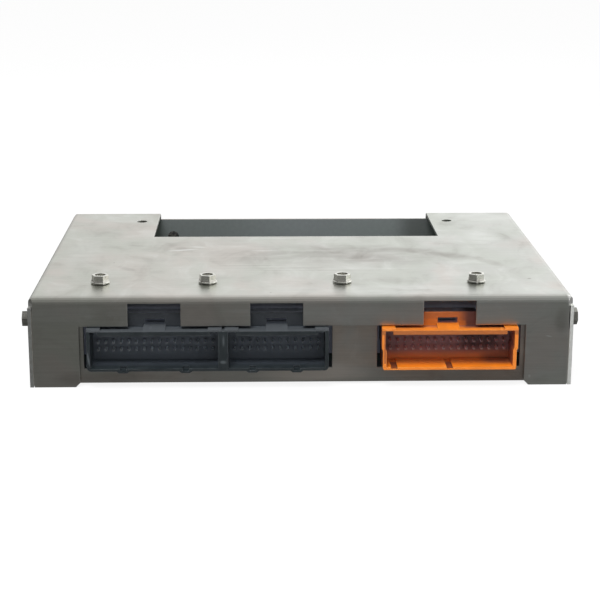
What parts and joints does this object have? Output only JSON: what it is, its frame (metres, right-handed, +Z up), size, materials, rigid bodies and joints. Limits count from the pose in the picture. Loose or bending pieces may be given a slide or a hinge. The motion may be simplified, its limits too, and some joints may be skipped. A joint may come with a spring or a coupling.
{
  "type": "engine control unit",
  "caption": "Flat engine control unit in a folded metal case, with black and orange plug headers along its front, a row of hexagon screws on top and an open notch at the back.",
  "frame": {"origin": "middle of the footprint, on the surface the unit rests on", "axes": "+Z up, the plug headers face -Y, and +X is to the right when looking at the headers"},
  "size_m": [0.186, 0.1428, 0.0334],
  "materials": {
    "case_aluminium": "bare sheet, dulled and finger-marked",
    "tray_aluminium": "bare sheet, duller than the cover",
    "black_moulding": "fine satin moulding",
    "orange_moulding": "satin moulding",
    "terminal_metal": "tinned, slightly dull",
    "board_laminate": "lacquered laminate",
    "bar_aluminium": "extruded, dull",
    "zinc_steel": "zinc-plated, lightly worn",
    "spring_steel": "dark rolled strip",
    "chip_moulding": "matte epoxy",
    "pack_coating": "dipped coating",
    "can_sleeve": "shrunk sleeve",
    "coil_wire": "enamelled copper winding"
  },
  "bodies": {
    "root": {"cover": "case_aluminium", "case_tray": "tray_aluminium", "header_black": "black_moulding", "header_orange": "orange_moulding", "terminals_black_32": "terminal_metal", "terminals_black_24": "terminal_metal", "terminals_orange_32": "terminal_metal", "circuit_board": "board_laminate", "heat_sink_bar": "bar_aluminium", "cover_screw_1": "zinc_steel", "cover_screw_2": "zinc_steel", "cover_screw_3": "zinc_steel", "cover_screw_4": "zinc_steel", "side_screw_left": "zinc_steel", "side_screw_right": "zinc_steel", "board_stand_off_1": "bar_aluminium", "board_stand_off_2": "bar_aluminium", "board_stand_off_3": "bar_aluminium", "board_stand_off_4": "bar_aluminium", "board_screw_1": "zinc_steel", "board_screw_2": "zinc_steel", "board_screw_3": "zinc_steel", "board_screw_4": "zinc_steel", "driver_1": "chip_moulding", "driver_2": "chip_moulding", "driver_3": "chip_moulding", "driver_4": "chip_moulding", "driver_5": "chip_moulding", "driver_6": "chip_moulding", "driver_clamp": "spring_steel", "clamp_screw_1": "zinc_steel", "clamp_screw_2": "zinc_steel", "processor": "chip_moulding", "memory_socket": "chip_moulding", "memory_module": "chip_moulding", "interface_chip_1": "chip_moulding", "interface_chip_2": "chip_moulding", "interface_chip_3": "chip_moulding", "resistor_pack_1": "pack_coating", "resistor_pack_2": "pack_coating", "capacitor_1": "can_sleeve", "capacitor_2": "can_sleeve", "capacitor_3": "can_sleeve", "crystal": "zinc_steel", "ring_coil": "coil_wire"}
  },
  "joints": []
}
